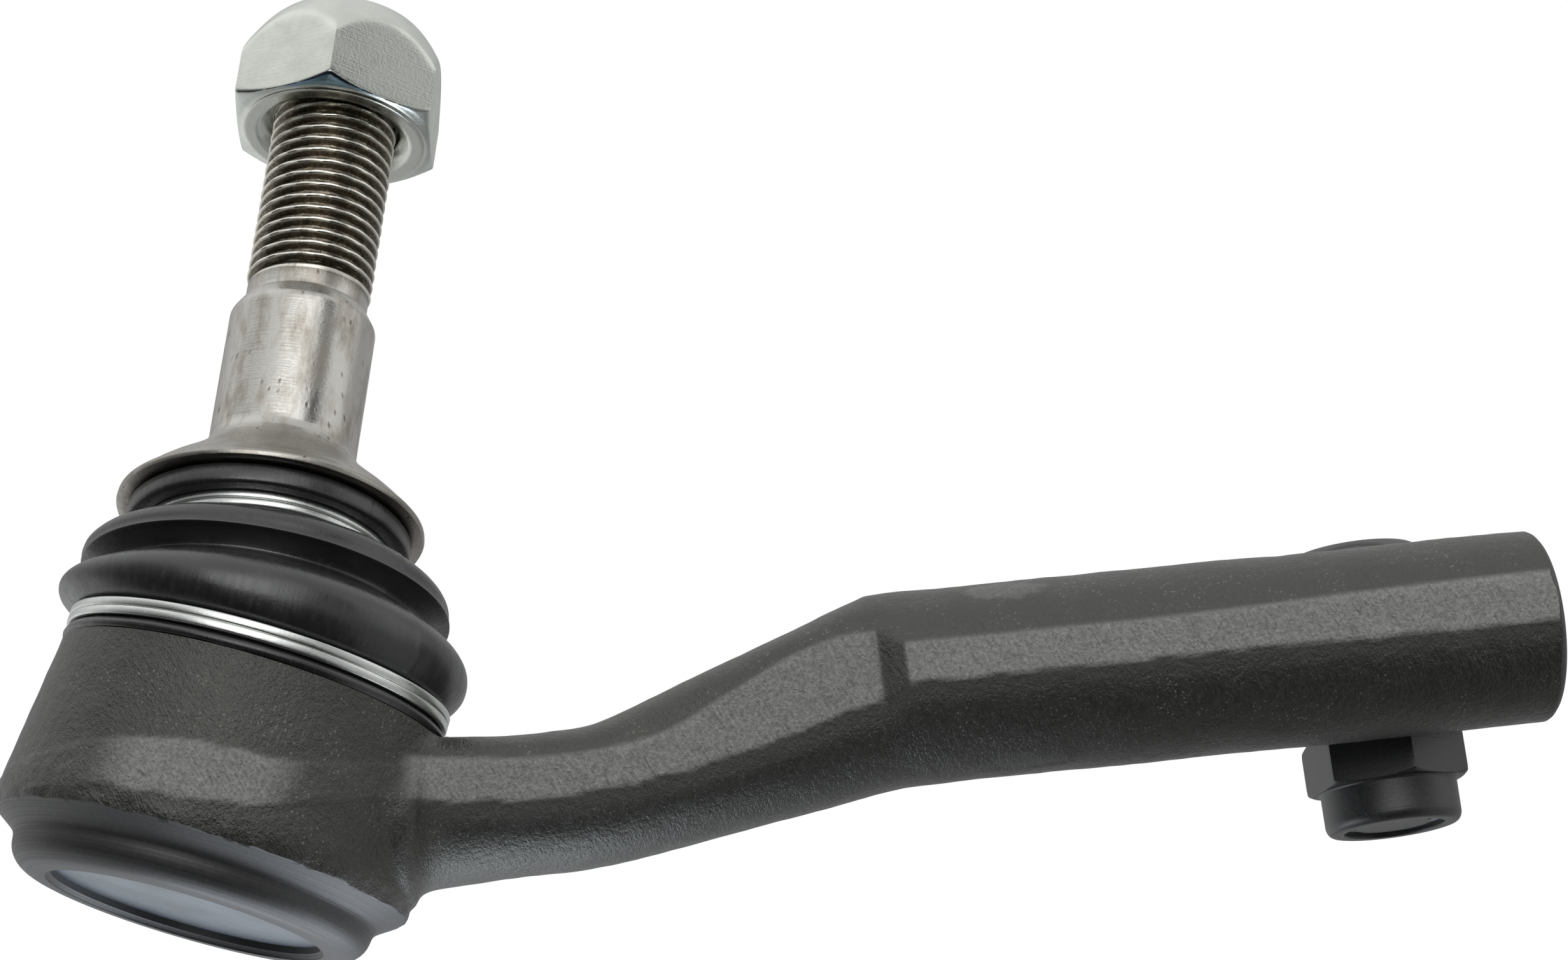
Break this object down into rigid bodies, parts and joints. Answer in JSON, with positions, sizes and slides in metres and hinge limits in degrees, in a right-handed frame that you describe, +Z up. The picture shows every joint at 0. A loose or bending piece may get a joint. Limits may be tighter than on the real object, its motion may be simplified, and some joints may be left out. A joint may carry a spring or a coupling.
{
  "type": "tie rod end",
  "caption": "Outer steering tie rod end: forged S-bent arm with a booted ball joint and flanged threaded stud at one end and a split, clamped thread socket at the other.",
  "frame": {"origin": "centre of the threaded socket's mouth, on the socket's axis", "axes": "+X along the socket, pointing out of its mouth; +Z up towards the ball stud's side, in the plane the arm bends in; +Y towards the split clamp's bolt"},
  "size_m": [0.1679, 0.0527, 0.1118],
  "materials": {
    "forged_steel": "black-coated forged steel, satin, fine scale grain",
    "bearing_plastic": "natural acetal",
    "spring_steel": "spring steel",
    "zinc_cover": "matte zinc plate",
    "machined_steel": "turned and ground steel, lightly stained",
    "zinc_nut": "bright zinc plate",
    "nylon": "nylon locking ring",
    "boot_rubber": "black chloroprene, satin",
    "ring_wire": "zinc-plated spring wire",
    "black_fastener": "black phosphate"
  },
  "bodies": {
    "housing": {"forging": "forged_steel", "upper_bearing_seat": "bearing_plastic", "lower_bearing_seat": "bearing_plastic", "preload_spring_washer": "spring_steel", "cover_plate": "zinc_cover", "lower_clamp_ring": "ring_wire", "pinch_bolt": "black_fastener"},
    "boot": {"dust_boot": "boot_rubber"},
    "boot_top": {"upper_clamp_ring": "ring_wire"},
    "stud": {"ball_stud": "machined_steel"},
    "nut_lift": {"stud_nut_insert": "nylon"},
    "nut": {"stud_nut": "zinc_nut"},
    "pinch_lift": {"pinch_nut_insert": "nylon"},
    "pinch_nut": {"pinch_nut": "black_fastener"}
  },
  "joints": [
    {"name": "tilt_direction", "type": "hinge", "parent": "housing", "child": "boot", "pos_m": [-0.143, 0, -0.0007], "axis": [0.3746, 0, 0.9272], "continuous": true},
    {"name": "stud_tilt", "type": "hinge", "parent": "boot", "child": "boot_top", "pos_m": [-0.143, 0, -0.0007], "axis": [-0.7741, -0.5505, 0.3127], "range_deg": [-38, 9], "deforming": ["dust_boot"]},
    {"name": "stud_spin", "type": "hinge", "parent": "boot_top", "child": "stud", "pos_m": [-0.143, 0, -0.0007], "axis": [0.2339, 0.2104, 0.9492], "continuous": true},
    {"name": "nut_travel", "type": "slide", "parent": "stud", "child": "nut_lift", "axis": [0.2339, 0.2104, 0.9492], "range_m": [-0.0196, 0.0136]},
    {"name": "nut_turn", "type": "hinge", "parent": "nut_lift", "child": "nut", "pos_m": [-0.1249, 0.01629, 0.07277], "axis": [0.2339, 0.2104, 0.9492], "range_deg": [-4680, 3240]},
    {"name": "pinch_nut_travel", "type": "slide", "parent": "housing", "child": "pinch_lift", "axis": [0, 0, -1], "range_m": [0, 0.01285]},
    {"name": "pinch_nut_turn", "type": "hinge", "parent": "pinch_lift", "child": "pinch_nut", "pos_m": [-0.0149, 0.0175, -0.007], "axis": [0, 0, -1], "range_deg": [0, 3060]}
  ],
  "couplings": [
    {"joint": "nut_travel", "follows": "nut_turn", "m_per_rad": 0.00023873},
    {"joint": "pinch_nut_travel", "follows": "pinch_nut_turn", "m_per_rad": 0.00023873}
  ]
}
